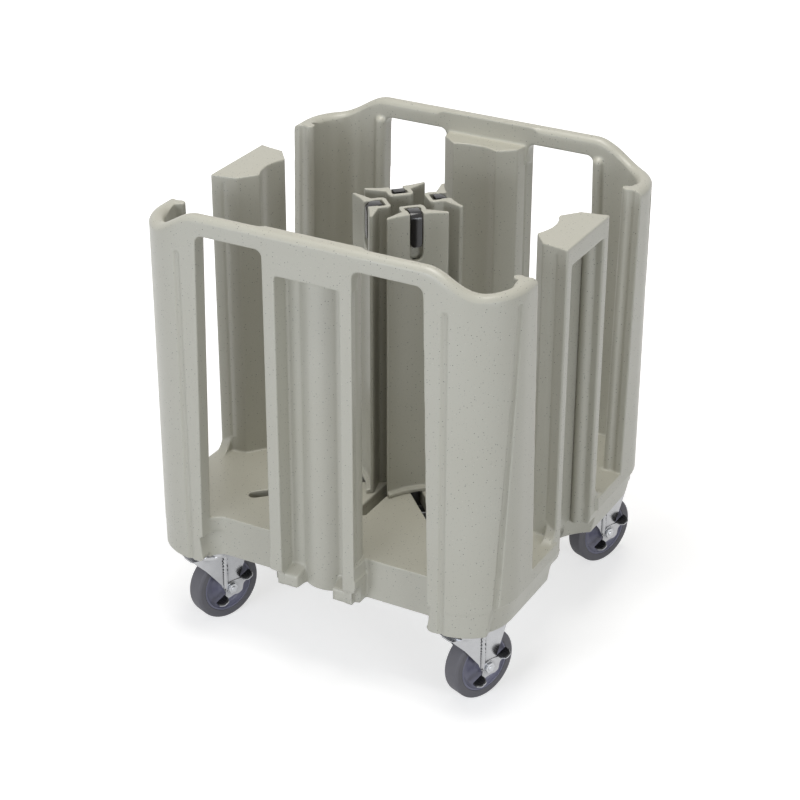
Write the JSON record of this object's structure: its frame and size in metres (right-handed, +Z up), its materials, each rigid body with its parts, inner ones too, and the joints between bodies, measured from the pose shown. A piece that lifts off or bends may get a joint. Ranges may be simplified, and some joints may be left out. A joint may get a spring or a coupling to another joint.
{
  "type": "plate dispenser cart",
  "caption": "Open moulded cart for stacked plates, with sliding towers that lock with sprung latches, standing on braked swivel casters.",
  "frame": {"origin": "On the floor under the middle of the body, between the four casters.", "axes": "+X to the cart's right along its front panel, +Y from front to rear, +Z up. The front panel faces -Y."},
  "size_m": [0.67, 0.6551, 0.803],
  "materials": {
    "body_plastic": "satin moulded plastic with fine dark and light speckle",
    "tower_plastic": "satin moulded plastic with fine speckle",
    "black_plastic": "smooth black plastic",
    "slide_plastic": "dark self-lubricating plastic",
    "zinc_steel": "bright zinc-plated pressed steel",
    "steel": "bright steel bar",
    "spring_steel": "drawn spring wire",
    "galvanised": "galvanised strip",
    "hub_plastic": "smooth blue-grey plastic",
    "tyre": "dark grey non-marking rubber",
    "pedal_plastic": "ribbed black plastic"
  },
  "bodies": {
    "root": {"base_deck": "body_plastic", "front_pillar": "body_plastic", "rear_pillar": "body_plastic", "left_pillar": "body_plastic", "right_pillar": "body_plastic", "front_left_corner": "body_plastic", "front_right_corner": "body_plastic", "rear_left_corner": "body_plastic", "rear_right_corner": "body_plastic", "track_strips": "galvanised", "kingpins": "steel", "caster_bolts": "steel", "front_left_plate": "zinc_steel", "front_right_plate": "zinc_steel", "rear_left_plate": "zinc_steel", "rear_right_plate": "zinc_steel"},
    "front_left_tower_unit": {"front_left_tower": "tower_plastic", "front_left_slide": "slide_plastic", "front_left_spring": "spring_steel"},
    "front_left_latch": {"front_left_handle": "black_plastic", "front_left_rod": "steel"},
    "front_left_swivel": {"front_left_fork": "zinc_steel", "front_left_axle": "steel"},
    "front_left_wheel": {"front_left_hub": "hub_plastic", "front_left_tyre": "tyre"},
    "front_left_brake_lever": {"front_left_brake": "zinc_steel", "front_left_pedals": "pedal_plastic"},
    "front_right_tower_unit": {"front_right_tower": "tower_plastic", "front_right_slide": "slide_plastic", "front_right_spring": "spring_steel"},
    "front_right_latch": {"front_right_handle": "black_plastic", "front_right_rod": "steel"},
    "front_right_swivel": {"front_right_fork": "zinc_steel", "front_right_axle": "steel"},
    "front_right_wheel": {"front_right_hub": "hub_plastic", "front_right_tyre": "tyre"},
    "front_right_brake_lever": {"front_right_brake": "zinc_steel", "front_right_pedals": "pedal_plastic"},
    "rear_left_tower_unit": {"rear_left_tower": "tower_plastic", "rear_left_slide": "slide_plastic", "rear_left_spring": "spring_steel"},
    "rear_left_latch": {"rear_left_handle": "black_plastic", "rear_left_rod": "steel"},
    "rear_left_swivel": {"rear_left_fork": "zinc_steel", "rear_left_axle": "steel"},
    "rear_left_wheel": {"rear_left_hub": "hub_plastic", "rear_left_tyre": "tyre"},
    "rear_left_brake_lever": {"rear_left_brake": "zinc_steel", "rear_left_pedals": "pedal_plastic"},
    "rear_right_tower_unit": {"rear_right_tower": "tower_plastic", "rear_right_slide": "slide_plastic", "rear_right_spring": "spring_steel"},
    "rear_right_latch": {"rear_right_handle": "black_plastic", "rear_right_rod": "steel"},
    "rear_right_swivel": {"rear_right_fork": "zinc_steel", "rear_right_axle": "steel"},
    "rear_right_wheel": {"rear_right_hub": "hub_plastic", "rear_right_tyre": "tyre"},
    "rear_right_brake_lever": {"rear_right_brake": "zinc_steel", "rear_right_pedals": "pedal_plastic"}
  },
  "joints": [
    {"name": "front_left_tower_slide", "type": "slide", "parent": "root", "child": "front_left_tower_unit", "axis": [-0.7071, -0.7071, 0], "range_m": [-0.008, 0.208]},
    {"name": "front_left_latch_lift", "type": "slide", "parent": "front_left_tower_unit", "child": "front_left_latch", "axis": [0, 0, 1], "range_m": [0, 0.012], "stiffness_N_per_m": 300, "springref_m": -0.01, "deforming": ["front_left_spring"]},
    {"name": "front_left_caster_swivel", "type": "hinge", "parent": "root", "child": "front_left_swivel", "pos_m": [-0.252, -0.246, 0.144], "axis": [0, 0, 1], "continuous": true},
    {"name": "front_left_wheel_spin", "type": "hinge", "parent": "front_left_swivel", "child": "front_left_wheel", "pos_m": [-0.24257, -0.22242, 0.0635], "axis": [0.9285, -0.3714, 0], "continuous": true},
    {"name": "front_left_brake_rock", "type": "hinge", "parent": "front_left_swivel", "child": "front_left_brake_lever", "pos_m": [-0.24257, -0.22242, 0.0635], "axis": [-0.9285, 0.3714, 0], "range_deg": [0, 20]},
    {"name": "front_right_tower_slide", "type": "slide", "parent": "root", "child": "front_right_tower_unit", "axis": [0.7071, -0.7071, 0], "range_m": [-0.003, 0.213]},
    {"name": "front_right_latch_lift", "type": "slide", "parent": "front_right_tower_unit", "child": "front_right_latch", "axis": [0, 0, 1], "range_m": [0, 0.012], "stiffness_N_per_m": 300, "springref_m": -0.01, "deforming": ["front_right_spring"]},
    {"name": "front_right_caster_swivel", "type": "hinge", "parent": "root", "child": "front_right_swivel", "pos_m": [0.252, -0.246, 0.144], "axis": [0, 0, 1], "continuous": true},
    {"name": "front_right_wheel_spin", "type": "hinge", "parent": "front_right_swivel", "child": "front_right_wheel", "pos_m": [0.26143, -0.22242, 0.0635], "axis": [0.9285, -0.3714, 0], "continuous": true},
    {"name": "front_right_brake_rock", "type": "hinge", "parent": "front_right_swivel", "child": "front_right_brake_lever", "pos_m": [0.26143, -0.22242, 0.0635], "axis": [-0.9285, 0.3714, 0], "range_deg": [0, 20]},
    {"name": "rear_left_tower_slide", "type": "slide", "parent": "root", "child": "rear_left_tower_unit", "axis": [-0.7071, 0.7071, 0], "range_m": [0, 0.216]},
    {"name": "rear_left_latch_lift", "type": "slide", "parent": "rear_left_tower_unit", "child": "rear_left_latch", "axis": [0, 0, 1], "range_m": [0, 0.012], "stiffness_N_per_m": 300, "springref_m": -0.01, "deforming": ["rear_left_spring"]},
    {"name": "rear_left_caster_swivel", "type": "hinge", "parent": "root", "child": "rear_left_swivel", "pos_m": [-0.252, 0.246, 0.144], "axis": [0, 0, 1], "continuous": true},
    {"name": "rear_left_wheel_spin", "type": "hinge", "parent": "rear_left_swivel", "child": "rear_left_wheel", "pos_m": [-0.24257, 0.26958, 0.0635], "axis": [0.9285, -0.3714, 0], "continuous": true},
    {"name": "rear_left_brake_rock", "type": "hinge", "parent": "rear_left_swivel", "child": "rear_left_brake_lever", "pos_m": [-0.24257, 0.26958, 0.0635], "axis": [-0.9285, 0.3714, 0], "range_deg": [0, 20]},
    {"name": "rear_right_tower_slide", "type": "slide", "parent": "root", "child": "rear_right_tower_unit", "axis": [0.7071, 0.7071, 0], "range_m": [-0.014, 0.202]},
    {"name": "rear_right_latch_lift", "type": "slide", "parent": "rear_right_tower_unit", "child": "rear_right_latch", "axis": [0, 0, 1], "range_m": [0, 0.012], "stiffness_N_per_m": 300, "springref_m": -0.01, "deforming": ["rear_right_spring"]},
    {"name": "rear_right_caster_swivel", "type": "hinge", "parent": "root", "child": "rear_right_swivel", "pos_m": [0.252, 0.246, 0.144], "axis": [0, 0, 1], "continuous": true},
    {"name": "rear_right_wheel_spin", "type": "hinge", "parent": "rear_right_swivel", "child": "rear_right_wheel", "pos_m": [0.26143, 0.26958, 0.0635], "axis": [0.9285, -0.3714, 0], "continuous": true},
    {"name": "rear_right_brake_rock", "type": "hinge", "parent": "rear_right_swivel", "child": "rear_right_brake_lever", "pos_m": [0.26143, 0.26958, 0.0635], "axis": [-0.9285, 0.3714, 0], "range_deg": [0, 20]}
  ]
}
